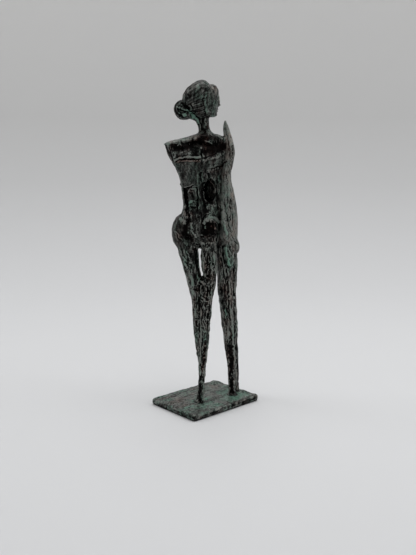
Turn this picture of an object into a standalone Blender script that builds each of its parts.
"""Bronze statuette: a slender slab-built standing figure, fixed by two screws to a thin rectangular plate.

Frame: origin at the centre of the resting face, +Z up, X along the plate's long side, Y along its short side.
The figure is drawn in its own frame, whose X-Z plane is the view it was composed for: x to the right of that
view, y away from it. That frame stands turned on the plate by FIGURE_TURN. All sizes below are millimetres.
"""

import math

import bmesh
import bpy
import numpy as np
from mathutils import Matrix, Vector

MM = 0.001

# Driving sizes
PLATE_LENGTH = 80.0
PLATE_WIDTH = 60.0
PLATE_THICKNESS = 4.6
PLATE_CORNER_RADIUS = 2.2
PLATE_EDGE_ROUNDING = 0.7
FELT_THICKNESS = 0.6
FELT_INSET = 3.5
FIGURE_TURN = -42.3
FIT_GAP = 0.3

PLATE_BOTTOM = FELT_THICKNESS + 0.2
PLATE_TOP = PLATE_BOTTOM + PLATE_THICKNESS
FOOT_LEVEL = PLATE_TOP + 0.2

# Screws that hold the two load-bearing feet, M3 countersunk
SCREW_RADIUS = 1.5
SCREW_HEAD_RADIUS = 2.9
SCREW_HEAD_DEPTH = 1.6
SCREW_HEAD_SINK = 0.3
SCREW_REACH = 7.0
SCREW_CLEARANCE = 0.15
SLOT_WIDTH = 0.7
SLOT_DEPTH = 0.6
MIDDLE_FOOT = (-4.8, -13.2)
RIGHT_FOOT = (25.2, 6.2)

# Mesh fineness
AROUND = 14
RING_SPACING = 9.0
DOME_AROUND = 16
DOME_RINGS = 9
RING_AROUND = 18
RING_TUBE_AROUND = 8
PANEL_ROW_SPACING = 8.0
PANEL_COLUMNS = 5

# The torso's five upright edges, as (x, y) at each level from the shoulders down to the hips
LEVELS = (240.0, 228.0, 217.0, 211.0, 200.0, 186.0, 177.0)
LEFT_REAR = (
    (-36.0, -7.0), (-31.8, -6.0), (-25.2, -4.4), (-22.5, -3.4), (-20.9, -2.4), (-19.5, -1.6), (-20.4, -1.6),
)
LEFT_FRONT = (
    (-31.4, -14.6), (-27.8, -13.2), (-24.2, -9.6), (-21.9, -7.8), (-20.2, -6.0), (-18.8, -5.0), (-19.4, -5.0),
)
FRONT = (
    (-2.6, -12.6), (-2.6, -12.6), (-2.7, -12.0), (-2.8, -11.4), (-3.0, -10.6), (-3.2, -10.4), (-3.2, -10.8),
)
RIGHT = (
    (19.2, 2.0), (19.0, 2.0), (17.4, 2.0), (16.2, 2.0), (15.6, 2.0), (15.4, 2.0), (15.4, 2.0),
)
REAR = (
    (-4.0, 14.0), (-4.0, 14.0), (-4.0, 13.2), (-4.0, 12.6), (-4.0, 12.0), (-4.0, 12.0), (-4.2, 12.8),
)

# How far a wide bar's right side is set back, per unit across: the body is turned a little to the right
SKEW = {"pelvis_block": 0.28}

# Upright bars with level sections: each row is a section's centre x, y, z, then its half width and half depth
BARS = {
    "leg_bar_middle": (
        (3.4, -4.4, 153.0, 6.0, 5.6),
        (3.3, -4.8, 148.0, 6.8, 6.4),
        (3.2, -5.2, 140.0, 7.2, 6.6),
        (3.7, -5.4, 129.0, 6.6, 6.5),
        (3.7, -5.4, 123.6, 6.0, 6.3),
        (3.1, -5.6, 117.0, 6.1, 6.2),
        (0.9, -6.6, 99.0, 5.4, 5.7),
        (0.2, -7.8, 85.0, 4.7, 5.1),
        (-0.4, -9.0, 70.0, 4.3, 4.6),
        (-1.6, -10.4, 54.0, 3.6, 4.0),
        (-3.0, -11.6, 40.0, 3.3, 3.4),
        (-3.5, -12.4, 28.0, 2.8, 2.9),
        (-4.3, -13.0, 15.0, 2.7, 2.8),
        (-4.7, -13.2, 8.5, 3.1, 3.2),
        (-4.8, -13.2, FOOT_LEVEL, 5.2, 4.8),
    ),
    "leg_bar_left": (
        (-16.2, -3.2, 153.0, 8.4, 6.4),
        (-15.6, -3.6, 146.0, 9.2, 7.2),
        (-13.8, -4.0, 137.0, 8.0, 6.8),
        (-12.0, -4.6, 128.0, 7.2, 6.4),
        (-9.6, -5.4, 117.0, 6.7, 6.0),
        (-9.0, -6.2, 107.0, 5.0, 5.4),
        (-8.2, -7.0, 99.0, 3.8, 4.8),
        (-7.9, -8.0, 85.0, 3.3, 4.2),
        (-7.5, -9.0, 70.0, 2.9, 3.6),
        (-6.4, -10.2, 52.0, 1.6, 2.2),
        (-5.9, -10.9, 44.0, 0.8, 1.4),
    ),
    "leg_bar_right_front": (
        (16.4, 3.0, 154.0, 5.0, 5.6),
        (16.8, 2.8, 146.0, 6.2, 6.2),
        (17.6, 2.6, 134.0, 6.8, 6.4),
        (18.2, 2.2, 119.0, 6.5, 6.2),
        (18.3, 1.6, 106.0, 6.5, 5.9),
        (19.5, 2.2, 91.0, 5.9, 5.5),
        (20.6, 2.8, 77.0, 5.4, 5.1),
        (21.8, 3.6, 62.0, 4.7, 4.6),
        (23.2, 4.6, 47.0, 3.8, 4.1),
        (24.3, 5.4, 31.0, 3.0, 3.4),
        (24.9, 6.0, 15.0, 2.8, 3.1),
        (25.2, 6.2, 8.5, 3.2, 3.4),
        (25.2, 6.2, FOOT_LEVEL, 4.6, 4.8),
    ),
    "leg_bar_right_rear": (
        (25.2, 8.4, 148.0, 3.0, 4.6),
        (25.4, 9.0, 140.0, 3.8, 5.2),
        (25.6, 10.2, 126.0, 3.9, 5.4),
        (25.4, 11.4, 110.0, 3.5, 5.4),
        (25.0, 12.2, 98.0, 3.1, 5.4),
        (26.3, 12.6, 84.0, 3.2, 5.3),
        (26.9, 12.9, 69.0, 3.2, 5.3),
        (27.4, 13.4, 52.0, 3.1, 5.3),
        (28.2, 14.2, 36.0, 3.1, 5.4),
        (28.6, 15.8, 20.0, 3.0, 5.2),
        (28.8, 17.6, 9.0, 2.9, 4.6),
        (28.8, 18.2, FOOT_LEVEL, 3.4, 4.6),
    ),
    "pelvis_block": (
        (-2.2, 0.6, 186.0, 17.3, 10.8),
        (-2.6, 0.6, 180.0, 18.0, 11.0),
        (-3.4, 0.6, 172.0, 19.6, 11.4),
        (-4.0, 0.4, 163.0, 20.2, 11.4),
        (-3.8, 0.2, 155.0, 19.8, 10.8),
        (-2.8, -0.2, 150.0, 18.4, 9.8),
        (-2.4, -0.6, 147.6, 14.8, 7.4),
    ),
    "arm_blade": (
        (17.6, 2.0, 259.6, 0.5, 0.6),
        (17.9, 2.0, 256.0, 1.8, 1.5),
        (18.5, 2.0, 252.0, 2.7, 2.2),
        (19.8, 1.8, 246.0, 3.4, 3.0),
        (21.5, 1.0, 239.0, 3.6, 4.8),
        (22.0, 0.6, 231.0, 4.2, 6.0),
        (20.7, 0.2, 223.0, 4.0, 6.2),
        (18.4, -0.4, 214.0, 4.6, 6.3),
        (18.4, -0.4, 207.0, 4.6, 6.4),
        (19.3, -0.1, 199.0, 5.8, 6.8),
        (19.9, 0.2, 190.0, 7.1, 7.2),
        (20.3, 0.6, 179.0, 8.2, 7.6),
        (20.9, 0.8, 168.0, 8.5, 8.0),
        (20.8, 1.2, 158.0, 8.0, 7.8),
        (21.7, 1.8, 149.5, 7.1, 6.8),
        (22.3, 2.6, 145.0, 4.8, 5.2),
    ),
    "forearm_strip": (
        (14.6, -5.4, 186.0, 1.2, 1.2),
        (15.8, -6.2, 177.0, 2.1, 2.0),
        (17.2, -6.6, 167.0, 2.5, 2.3),
        (18.6, -6.2, 158.0, 2.3, 2.2),
        (19.4, -5.6, 152.2, 1.3, 1.3),
    ),
    "hand_lump": (
        (20.4, -3.8, 151.4, 1.8, 1.6),
        (20.8, -4.2, 147.0, 4.4, 3.0),
        (21.4, -4.4, 141.0, 4.6, 3.1),
        (22.4, -3.9, 135.0, 3.4, 2.6),
        (23.0, -3.3, 130.0, 1.6, 1.6),
        (23.1, -3.1, 128.2, 0.7, 0.8),
    ),
    "neck_bar": (
        (1.6, 0.0, 268.0, 2.0, 2.4),
        (1.3, 0.0, 262.0, 2.1, 2.4),
        (1.0, 0.0, 255.5, 2.5, 2.6),
        (0.9, 0.0, 252.2, 3.2, 3.0),
        (0.5, 0.0, 250.0, 4.6, 4.2),
        (0.4, 0.2, 248.2, 7.6, 6.2),
    ),
    "hair_cap": (
        (-2.6, 1.0, 293.6, 1.2, 1.6),
        (-3.0, 1.0, 292.8, 3.6, 4.6),
        (-4.0, 1.0, 290.4, 7.2, 8.4),
        (-5.6, 1.0, 286.8, 10.6, 10.8),
        (-7.2, 1.0, 282.0, 12.1, 11.5),
        (-7.6, 1.0, 277.0, 12.2, 11.2),
        (-7.0, 1.0, 271.5, 11.0, 10.2),
        (-5.6, 1.0, 266.6, 8.2, 8.0),
        (-4.2, 1.0, 263.4, 5.0, 5.0),
        (-3.8, 1.0, 262.4, 2.8, 3.0),
    ),
    "face_slab": (
        (5.4, -0.4, 290.0, 1.8, 2.6),
        (5.4, -0.4, 288.8, 4.0, 5.4),
        (5.2, -0.4, 286.0, 5.7, 7.6),
        (4.8, -0.4, 281.0, 6.6, 8.8),
        (4.5, -0.4, 276.0, 6.7, 8.9),
        (4.4, -0.4, 271.0, 6.4, 8.2),
        (4.6, -0.4, 266.5, 5.7, 6.8),
        (5.1, -0.4, 263.8, 4.3, 4.8),
        (5.5, -0.4, 262.6, 2.4, 2.8),
    ),
    "sternum_bar": (
        (-2.6, -12.2, 238.4, 1.2, 1.5),
        (-2.6, -12.3, 226.0, 1.3, 1.6),
        (-2.8, -11.4, 214.0, 1.6, 1.8),
        (-3.1, -10.6, 203.0, 2.0, 2.2),
        (-3.2, -10.4, 193.0, 2.1, 2.3),
        (-3.2, -10.4, 182.0, 2.3, 2.4),
        (-3.2, -10.5, 177.6, 1.8, 2.0),
        (-3.2, -10.6, 174.6, 0.8, 1.0),
    ),
    "spine_bar": (
        (-4.0, 13.6, 238.4, 1.4, 1.5),
        (-4.0, 13.6, 226.0, 1.5, 1.6),
        (-4.0, 12.6, 212.0, 1.7, 1.8),
        (-4.0, 11.8, 197.0, 1.9, 2.0),
        (-4.0, 11.8, 185.0, 2.1, 2.1),
        (-4.0, 11.8, 176.0, 2.0, 2.0),
        (-4.0, 11.4, 171.0, 0.8, 1.0),
    ),
    "waist_lump_bar": (
        (-10.6, -6.6, 201.4, 2.4, 2.4),
        (-10.8, -7.0, 198.0, 4.0, 3.6),
        (-10.4, -7.4, 193.0, 3.5, 3.4),
        (-10.7, -7.6, 187.0, 4.1, 3.8),
        (-10.2, -8.0, 181.0, 3.8, 3.7),
        (-10.0, -8.8, 175.0, 3.0, 2.8),
        (-9.8, -9.0, 170.6, 1.2, 1.4),
    ),
}

# Bars that run across or slant, whose sections stand square to their path
SLANTING_BARS = {
    "shoulder_yoke": (
        (-35.5, -9.6, 238.4, 1.0, 2.6),
        (-30.0, -8.4, 239.2, 2.2, 6.6),
        (-21.0, -5.0, 240.6, 3.1, 9.4),
        (-12.0, -1.8, 242.0, 4.1, 11.0),
        (-5.0, -0.4, 243.6, 5.0, 12.0),
        (2.5, 0.0, 243.8, 5.0, 11.0),
        (9.0, 0.8, 243.2, 4.4, 8.4),
        (17.4, 2.2, 242.2, 3.4, 5.2),
    ),
    "nape_bar": (
        (-16.2, 1.6, 264.8, 2.4, 3.2),
        (-10.6, 1.4, 264.0, 3.2, 3.2),
        (-5.4, 1.0, 261.2, 3.7, 3.0),
        (-3.4, 0.6, 255.6, 3.0, 2.7),
        (-3.3, 0.4, 250.4, 2.4, 2.7),
        (-4.0, 0.4, 246.6, 2.6, 3.0),
    ),
}

# Domes: centre x, y, z and three radii
DOMES = {
    "hair_bun": ((-19.0, 1.8, 268.8), (8.4, 7.6, 8.5)),
    "near_buttock": ((-18.4, -2.2, 161.6), (11.8, 11.0, 17.2)),
    "far_buttock": ((-4.6, 7.6, 161.6), (11.6, 9.8, 15.8)),
    "belly_dome": ((3.0, -7.2, 165.8), (4.7, 5.2, 5.0)),
    "wrist_knot": ((27.4, 0.6, 148.4), (3.6, 5.0, 7.0)),
}

# Rings that face the viewer: centre x, y, z, then the ring's radius and its tube's
RINGS = {
    "belly_ring": ((3.0, -9.6, 165.8), 6.6, 1.7),
}

# Panels between two of the torso's edges. top and bottom are the levels at its first and its second edge
PANELS = {
    "chest_slab_left": dict(edges=(LEFT_FRONT, FRONT), top=(238.4, 238.4), bottom=(224.2, 225.2),
                            thickness=4.2, bulge=2.6, proud=1.4, trim=(0.0, 0.6)),
    "chest_slab_right": dict(edges=(FRONT, RIGHT), top=(238.4, 238.4), bottom=(225.8, 232.4),
                             thickness=4.0, bulge=1.6, proud=0.6, trim=(0.6, 0.0)),
    "chest_band_right": dict(edges=(FRONT, RIGHT), top=(225.4, 232.0), bottom=(217.6, 223.6),
                             thickness=3.6, bulge=2.8, proud=0.9, trim=(0.6, 0.0)),
    "flank_panel_left": dict(edges=(LEFT_REAR, LEFT_FRONT), top=(238.4, 238.4), bottom=(186.3, 186.3),
                             thickness=2.4, bulge=0.0, proud=0.0, trim=(0.0, 0.3)),
    "rib_panel_left": dict(edges=(LEFT_FRONT, FRONT), top=(223.8, 224.8), bottom=(202.0, 202.6),
                           thickness=2.6, bulge=0.8, proud=0.0, trim=(0.0, 0.6)),
    "loin_panel_left": dict(edges=(LEFT_FRONT, FRONT), top=(201.6, 202.2), bottom=(186.3, 186.3),
                            thickness=2.6, bulge=-1.4, proud=0.0, trim=(0.0, 0.6)),
    "rib_panel_right": dict(edges=(FRONT, RIGHT), top=(217.2, 223.2), bottom=(186.3, 186.3),
                            thickness=2.6, bulge=1.4, proud=0.0, trim=(0.6, 0.0)),
    "back_panel_left": dict(edges=(REAR, LEFT_REAR), top=(238.4, 238.4), bottom=(186.3, 186.3),
                            thickness=2.6, bulge=1.6, proud=0.0, trim=(0.6, 1.6)),
    "back_panel_right": dict(edges=(RIGHT, REAR), top=(238.4, 238.4), bottom=(186.3, 186.3),
                             thickness=2.6, bulge=1.6, proud=0.0, trim=(2.4, 0.6)),
}
YOKE_UNDERSIDE = 238.7

# Which pieces are shaped to fit round which others, each keeping FIT_GAP to them
FITS_ROUND = {
    "leg_bar_left": ("leg_bar_middle",),
    "leg_bar_right_front": ("leg_bar_middle",),
    "leg_bar_right_rear": ("leg_bar_right_front",),
    "pelvis_block": ("leg_bar_middle", "leg_bar_left", "leg_bar_right_front", "leg_bar_right_rear",
                     "sternum_bar", "spine_bar", "waist_lump_bar", "belly_dome", "belly_ring"),
    "belly_ring": ("belly_dome",),
    "near_buttock": ("pelvis_block", "leg_bar_left"),
    "far_buttock": ("pelvis_block", "near_buttock", "leg_bar_left", "leg_bar_middle", "spine_bar"),
    "rib_panel_left": ("sternum_bar",),
    "loin_panel_left": ("sternum_bar", "waist_lump_bar"),
    "rib_panel_right": ("sternum_bar", "rib_panel_left", "loin_panel_left"),
    "chest_slab_left": ("sternum_bar",),
    "chest_slab_right": ("sternum_bar", "chest_slab_left", "rib_panel_left"),
    "chest_band_right": ("sternum_bar", "chest_slab_left", "rib_panel_left"),
    "flank_panel_left": ("chest_slab_left", "rib_panel_left", "loin_panel_left", "waist_lump_bar"),
    "back_panel_left": ("spine_bar", "flank_panel_left", "waist_lump_bar"),
    "back_panel_right": ("spine_bar", "back_panel_left", "rib_panel_right", "chest_slab_right",
                         "chest_band_right"),
    "arm_blade": ("pelvis_block", "leg_bar_middle", "leg_bar_right_front", "leg_bar_right_rear",
                  "rib_panel_right", "back_panel_right", "chest_slab_right", "chest_band_right",
                  "shoulder_yoke"),
    "forearm_strip": ("arm_blade", "rib_panel_right", "pelvis_block"),
    "hand_lump": ("arm_blade", "leg_bar_right_front", "leg_bar_right_rear", "pelvis_block", "forearm_strip"),
    "wrist_knot": ("arm_blade", "leg_bar_right_front", "leg_bar_right_rear", "hand_lump"),
    "waist_lump_bar": ("sternum_bar", "rib_panel_left"),
    "neck_bar": ("shoulder_yoke", "face_slab"),
    "nape_bar": ("shoulder_yoke", "neck_bar", "hair_cap", "hair_bun"),
    "hair_cap": ("face_slab", "neck_bar"),
    "hair_bun": ("hair_cap",),
}

# Almond-shaped opening in the right rib panel, into the hollow torso
OPENING_CENTRE = (4.4, -7.0, 198.8)
OPENING_HEIGHT = 23.0
OPENING_WIDTH = 13.0
OPENING_LEAN = 4.0

BRONZE_COLOUR = (0.030, 0.031, 0.027, 1.0)
FELT_COLOUR = (0.02, 0.02, 0.02, 1.0)
STEEL_COLOUR = (0.45, 0.44, 0.42, 1.0)

# How much paler than BRONZE_COLOUR the patina of a piece is; 1 where it isn't named
PATINA_TONE = {
    "base_plate": 4.0,
    "arm_blade": 2.6,
    "forearm_strip": 2.4,
    "hand_lump": 2.2,
    "wrist_knot": 2.2,
    "leg_bar_middle": 1.2,
    "leg_bar_left": 1.3,
    "rib_panel_left": 1.3,
    "face_slab": 1.4,
    "chest_slab_left": 0.5,
    "chest_slab_right": 0.4,
    "near_buttock": 0.6,
    "belly_dome": 0.5,
}


def make_material(name, colour, roughness, metallic):
    material = bpy.data.materials.new(name)
    material.use_nodes = True
    shader = material.node_tree.nodes["Principled BSDF"]
    shader.inputs["Base Color"].default_value = colour
    shader.inputs["Roughness"].default_value = roughness
    shader.inputs["Metallic"].default_value = metallic
    return material


def bronze_of(name):
    """Patinated bronze in the piece's own tone; the darker it is, the glossier."""
    tone = PATINA_TONE.get(name, 1.0)
    colour = tuple(channel * tone for channel in BRONZE_COLOUR[:3]) + (1.0,)
    return make_material(name + "_bronze", colour, 0.35 + 0.05 * tone, 0.9)


def add_object(name, points, faces, parent=None):
    """A mesh object from points in millimetres."""
    mesh = bpy.data.meshes.new(name)
    mesh.from_pydata([Vector(p) * MM for p in points], [], faces)
    mesh.validate()
    obj = bpy.data.objects.new(name, mesh)
    bpy.context.scene.collection.objects.link(obj)
    obj.parent = parent
    return obj


def finish_mesh(obj, material):
    """Outward normals, smooth shading with sharp creases, and the piece's material."""
    work = bmesh.new()
    work.from_mesh(obj.data)
    bmesh.ops.recalc_face_normals(work, faces=work.faces)
    work.to_mesh(obj.data)
    work.free()
    obj.data.shade_smooth()
    obj.data.set_sharp_from_angle(angle=math.radians(40))
    obj.data.materials.append(material)
    return obj


def smooth_rows(rows):
    """Catmull-Rom rows between the given ones, which it passes through."""
    rows = np.array(rows, float)
    before = np.vstack([2 * rows[0] - rows[1], rows[:-1]])
    after = np.vstack([rows[1:], 2 * rows[-1] - rows[-2]])
    slopes = (after - before) / 2
    slopes[:, 3:] = np.clip(slopes[:, 3:], -2.0, 2.0)
    out = []
    for i in range(len(rows) - 1):
        steps = math.ceil(np.linalg.norm(rows[i + 1, :3] - rows[i, :3]) / RING_SPACING)
        for t in np.linspace(0, 1, steps, endpoint=False):
            out.append((2 * t**3 - 3 * t**2 + 1) * rows[i] + (t**3 - 2 * t**2 + t) * slopes[i]
                       + (3 * t**2 - 2 * t**3) * rows[i + 1] + (t**3 - t**2) * slopes[i + 1])
    out.append(rows[-1])
    return np.array(out)


def bar_mesh(rows, grow=0.0, slanting=False, skew=0.0, squareness=2.3):
    """A solid bar with oval sections: level ones, or square to its path in the x-z plane if slanting."""
    rows = smooth_rows(rows)
    along = np.tile((0.0, -1.0), (len(rows), 1))
    if slanting:
        along = np.gradient(rows[:, [0, 2]], axis=0)
        along /= np.linalg.norm(along, axis=1)[:, None]
    if grow:
        rows[0, [0, 2]] -= along[0] * grow
        rows[-1, [0, 2]] += along[-1] * grow
    points = []
    for (x, y, z, half_width, half_depth), (dx, dz) in zip(rows, along):
        for k in range(AROUND):
            angle = 2 * math.pi * k / AROUND
            c, s = math.cos(angle), math.sin(angle)
            across = (half_width + grow) * math.copysign(abs(c) ** (2 / squareness), c)
            deep = (half_depth + grow) * math.copysign(abs(s) ** (2 / squareness), s)
            points.append((x - dz * across, y + deep + skew * across, z + dx * across))
    return points, tube_faces(len(rows), AROUND)


def tube_faces(rings, around):
    faces = [tuple(range(around)), tuple(range((rings - 1) * around, rings * around))]
    for i in range(rings - 1):
        for k in range(around):
            a, b = i * around + k, i * around + (k + 1) % around
            faces.append((a, b, b + around, a + around))
    return faces


def dome_mesh(centre, radii, grow=0.0):
    """An ellipsoid, drawn as rings from pole to pole."""
    points = [(centre[0], centre[1], centre[2] + radii[2] + grow)]
    for i in range(1, DOME_RINGS):
        polar = math.pi * i / DOME_RINGS
        for k in range(DOME_AROUND):
            turn = 2 * math.pi * k / DOME_AROUND
            direction = (math.sin(polar) * math.cos(turn), math.sin(polar) * math.sin(turn), math.cos(polar))
            points.append(tuple(c + d * (r + grow) for c, d, r in zip(centre, direction, radii)))
    points.append((centre[0], centre[1], centre[2] - radii[2] - grow))
    faces = []
    last = len(points) - 1
    for k in range(DOME_AROUND):
        following = (k + 1) % DOME_AROUND
        faces.append((0, 1 + k, 1 + following))
        faces.append((last, last - DOME_AROUND + following, last - DOME_AROUND + k))
    for i in range(DOME_RINGS - 2):
        for k in range(DOME_AROUND):
            a = 1 + i * DOME_AROUND + k
            b = 1 + i * DOME_AROUND + (k + 1) % DOME_AROUND
            faces.append((a, a + DOME_AROUND, b + DOME_AROUND, b))
    return points, faces


def ring_mesh(centre, radius, tube, grow=0.0):
    """A torus whose axis runs along y."""
    points = []
    for i in range(RING_AROUND):
        turn = 2 * math.pi * i / RING_AROUND
        for k in range(RING_TUBE_AROUND):
            roll = 2 * math.pi * k / RING_TUBE_AROUND
            reach = radius + (tube + grow) * math.cos(roll)
            points.append((centre[0] + reach * math.cos(turn), centre[1] + (tube + grow) * math.sin(roll),
                           centre[2] + reach * math.sin(turn)))
    faces = []
    for i in range(RING_AROUND):
        for k in range(RING_TUBE_AROUND):
            after = (i + 1) % RING_AROUND * RING_TUBE_AROUND
            beside = (k + 1) % RING_TUBE_AROUND
            here = i * RING_TUBE_AROUND
            faces.append((here + k, here + beside, after + beside, after + k))
    return points, faces


def edge_point(edge, level):
    """Where an upright edge of the torso stands at this level."""
    levels = LEVELS[::-1]
    return np.array([np.interp(level, levels, [p[i] for p in edge[::-1]]) for i in (0, 1)])


def panel_mesh(edges, top, bottom, thickness, bulge, proud, trim, grow=0.0):
    """A curved slab between two upright edges of the torso, trimmed back from each."""
    row_count = max(2, round((max(top) - min(bottom)) / PANEL_ROW_SPACING))
    outer, inner = [], []
    for i in range(row_count + 1):
        down = i / row_count
        for j in range(PANEL_COLUMNS + 1):
            across = j / PANEL_COLUMNS
            high = (top[0] * (1 - across) + top[1] * across) + grow
            low = (bottom[0] * (1 - across) + bottom[1] * across) - grow
            level = high + (low - high) * down
            left, right = edge_point(edges[0], level), edge_point(edges[1], level)
            chord = right - left
            chord /= np.linalg.norm(chord)
            outward = np.array([chord[1], -chord[0]])
            reach = proud * math.sin(math.pi / 2 * min(1.0, down * 2.0)) + bulge * math.sin(math.pi * across)
            left, right = left + chord * (trim[0] - grow), right - chord * (trim[1] - grow)
            place = left + (right - left) * across
            outer.append((*(place + outward * (reach + grow)), level))
            inner.append((*(place + outward * (reach - thickness - grow)), level))
    return outer + inner, slab_faces(row_count, PANEL_COLUMNS)


def slab_faces(row_count, columns):
    wide = columns + 1
    offset = (row_count + 1) * wide
    faces = []
    for i in range(row_count):
        for j in range(columns):
            a = i * wide + j
            faces.append((a, a + 1, a + 1 + wide, a + wide))
            faces.append((offset + a + wide, offset + a + 1 + wide, offset + a + 1, offset + a))
    rim = [j for j in range(wide)]
    rim += [i * wide + columns for i in range(1, row_count + 1)]
    rim += [row_count * wide + j for j in range(columns - 1, -1, -1)]
    rim += [i * wide for i in range(row_count - 1, 0, -1)]
    for a, b in zip(rim, rim[1:] + rim[:1]):
        faces.append((b, a, offset + a, offset + b))
    return faces


def shape_of(name, grow=0.0):
    if name in BARS:
        return bar_mesh(BARS[name], grow, skew=SKEW.get(name, 0.0))
    if name in SLANTING_BARS:
        return bar_mesh(SLANTING_BARS[name], grow, slanting=True)
    if name in DOMES:
        return dome_mesh(*DOMES[name], grow)
    if name in RINGS:
        return ring_mesh(*RINGS[name], grow)
    return panel_mesh(**PANELS[name], grow=grow)


def subtract(obj, cutter):
    """Cuts the cutter away from the piece."""
    cut = obj.modifiers.new("cut_" + cutter.name, "BOOLEAN")
    cut.operation = "DIFFERENCE"
    cut.solver = "EXACT"
    cut.object = cutter


def make_cutter(name, points, faces, parent=None):
    cutter = add_object(name, points, faces, parent)
    work = bmesh.new()
    work.from_mesh(cutter.data)
    bmesh.ops.recalc_face_normals(work, faces=work.faces)
    work.to_mesh(cutter.data)
    work.free()
    cutter.hide_render = True
    cutter.display_type = "WIRE"
    return cutter


def almond_points(centre, height, width, lean, depth):
    """A pointed oval, extruded along y: two circular arcs that meet at its top and bottom."""
    half_height, half_width = height / 2, width / 2
    radius = (half_height**2 + half_width**2) / (2 * half_width)
    reach = math.asin(half_height / radius)
    outline = []
    steps = 6
    for side in (1, -1):
        for i in range(steps):
            angle = reach * (1 - 2 * i / steps)
            bow = radius * math.cos(angle) - (radius - half_width)
            outline.append((side * bow, side * radius * math.sin(angle)))
    cos, sin = math.cos(math.radians(lean)), math.sin(math.radians(lean))
    leaning = [(x * cos + z * sin, z * cos - x * sin) for x, z in outline]
    points = []
    for y in (-depth / 2, depth / 2):
        points.extend((centre[0] + x, centre[1] + y, centre[2] + z) for x, z in leaning)
    return points, tube_faces(2, len(leaning))


def rounded_rectangle(length, width, radius, steps=4):
    outline = []
    for corner in range(4):
        centre_x = (length / 2 - radius) * (1 if corner in (0, 3) else -1)
        centre_y = (width / 2 - radius) * (1 if corner in (0, 1) else -1)
        for i in range(steps + 1):
            angle = math.pi / 2 * (corner + i / steps)
            outline.append((centre_x + radius * math.cos(angle), centre_y + radius * math.sin(angle)))
    return outline


def block(outline, low, high):
    points = [(x, y, z) for z in (low, high) for x, y in outline]
    return points, tube_faces(2, len(outline))


def on_plate(place):
    """A point of the figure's frame, in the plate's frame."""
    turned = Matrix.Rotation(math.radians(FIGURE_TURN), 2) @ Vector(place)
    return turned.x, turned.y


def screw_profile(extra=0.0):
    """Radius and level up a countersunk screw, head first."""
    low = PLATE_BOTTOM + (SCREW_HEAD_SINK if not extra else -1.0)
    shoulder = PLATE_BOTTOM + 2 * SCREW_HEAD_SINK
    return (
        (SCREW_HEAD_RADIUS + extra, low),
        (SCREW_HEAD_RADIUS + extra, shoulder),
        (SCREW_RADIUS + extra, shoulder + SCREW_HEAD_DEPTH),
        (SCREW_RADIUS + extra, PLATE_TOP + SCREW_REACH + 2 * extra),
    )


def turned_mesh(profile, place, around=16):
    points = []
    for radius, level in profile:
        for k in range(around):
            angle = 2 * math.pi * k / around
            points.append((place[0] + radius * math.cos(angle), place[1] + radius * math.sin(angle), level))
    return points, tube_faces(len(profile), around)


def build_plate():
    outline = rounded_rectangle(PLATE_LENGTH, PLATE_WIDTH, PLATE_CORNER_RADIUS)
    plate = add_object("base_plate", *block(outline, PLATE_BOTTOM, PLATE_TOP))
    work = bmesh.new()
    work.from_mesh(plate.data)
    bmesh.ops.recalc_face_normals(work, faces=work.faces)
    rim = [e for e in work.edges if abs(e.verts[0].co.z - e.verts[1].co.z) < MM / 100]
    bmesh.ops.bevel(work, geom=rim, offset=PLATE_EDGE_ROUNDING * MM, segments=2, profile=0.5, affect="EDGES")
    work.to_mesh(plate.data)
    work.free()
    return finish_mesh(plate, bronze_of("base_plate"))


def build_felt():
    length, width = PLATE_LENGTH - 2 * FELT_INSET, PLATE_WIDTH - 2 * FELT_INSET
    outline = rounded_rectangle(length, width, PLATE_CORNER_RADIUS)
    pad = add_object("felt_pad", *block(outline, 0.0, FELT_THICKNESS))
    return finish_mesh(pad, make_material("black_felt", FELT_COLOUR, 1.0, 0.0))


def build_screw(name, foot, plate, leg):
    """A countersunk screw from under the plate into a foot, and its clearance in both."""
    place = on_plate(foot)
    screw = add_object(name, *turned_mesh(screw_profile(), place))
    finish_mesh(screw, make_material(name + "_steel", STEEL_COLOUR, 0.35, 1.0))
    low, high = PLATE_BOTTOM - 1, PLATE_BOTTOM + SCREW_HEAD_SINK + SLOT_DEPTH
    half_x, half_y = SCREW_HEAD_RADIUS + 1, SLOT_WIDTH / 2
    signs = ((-1, -1), (1, -1), (1, 1), (-1, 1))
    corners = [(place[0] + i * half_x, place[1] + j * half_y) for i, j in signs]
    subtract(screw, make_cutter("slot_of_" + name, *block(corners, low, high)))
    bore = make_cutter("bore_for_" + name, *turned_mesh(screw_profile(SCREW_CLEARANCE), place))
    subtract(plate, bore)
    subtract(leg, bore)
    return screw


def build_figure():
    """All castings of the figure, turned on the plate, each fitted round its neighbours."""
    figure = bpy.data.objects.new("figure_axis", None)
    bpy.context.scene.collection.objects.link(figure)
    figure.rotation_euler.z = math.radians(FIGURE_TURN)
    pieces = {name: finish_mesh(add_object(name, *shape_of(name), figure), bronze_of(name))
              for name in [*BARS, *SLANTING_BARS, *DOMES, *RINGS, *PANELS]}
    cutters = {}
    for name, others in FITS_ROUND.items():
        for other in others:
            if other not in cutters:
                cutters[other] = make_cutter("room_for_" + other, *shape_of(other, FIT_GAP), figure)
            subtract(pieces[name], cutters[other])
    under_yoke = block([(-60, -30), (60, -30), (60, 30), (-60, 30)], 200.0, YOKE_UNDERSIDE)
    subtract(pieces["shoulder_yoke"], make_cutter("under_yoke", *under_yoke, figure))
    opening = almond_points(OPENING_CENTRE, OPENING_HEIGHT, OPENING_WIDTH, OPENING_LEAN, 12.0)
    subtract(pieces["rib_panel_right"], make_cutter("opening_cutter", *opening, figure))
    return pieces


def main():
    for obj in list(bpy.data.objects):
        bpy.data.objects.remove(obj)
    plate = build_plate()
    build_felt()
    pieces = build_figure()
    build_screw("middle_foot_screw", MIDDLE_FOOT, plate, pieces["leg_bar_middle"])
    build_screw("right_foot_screw", RIGHT_FOOT, plate, pieces["leg_bar_right_front"])


main()
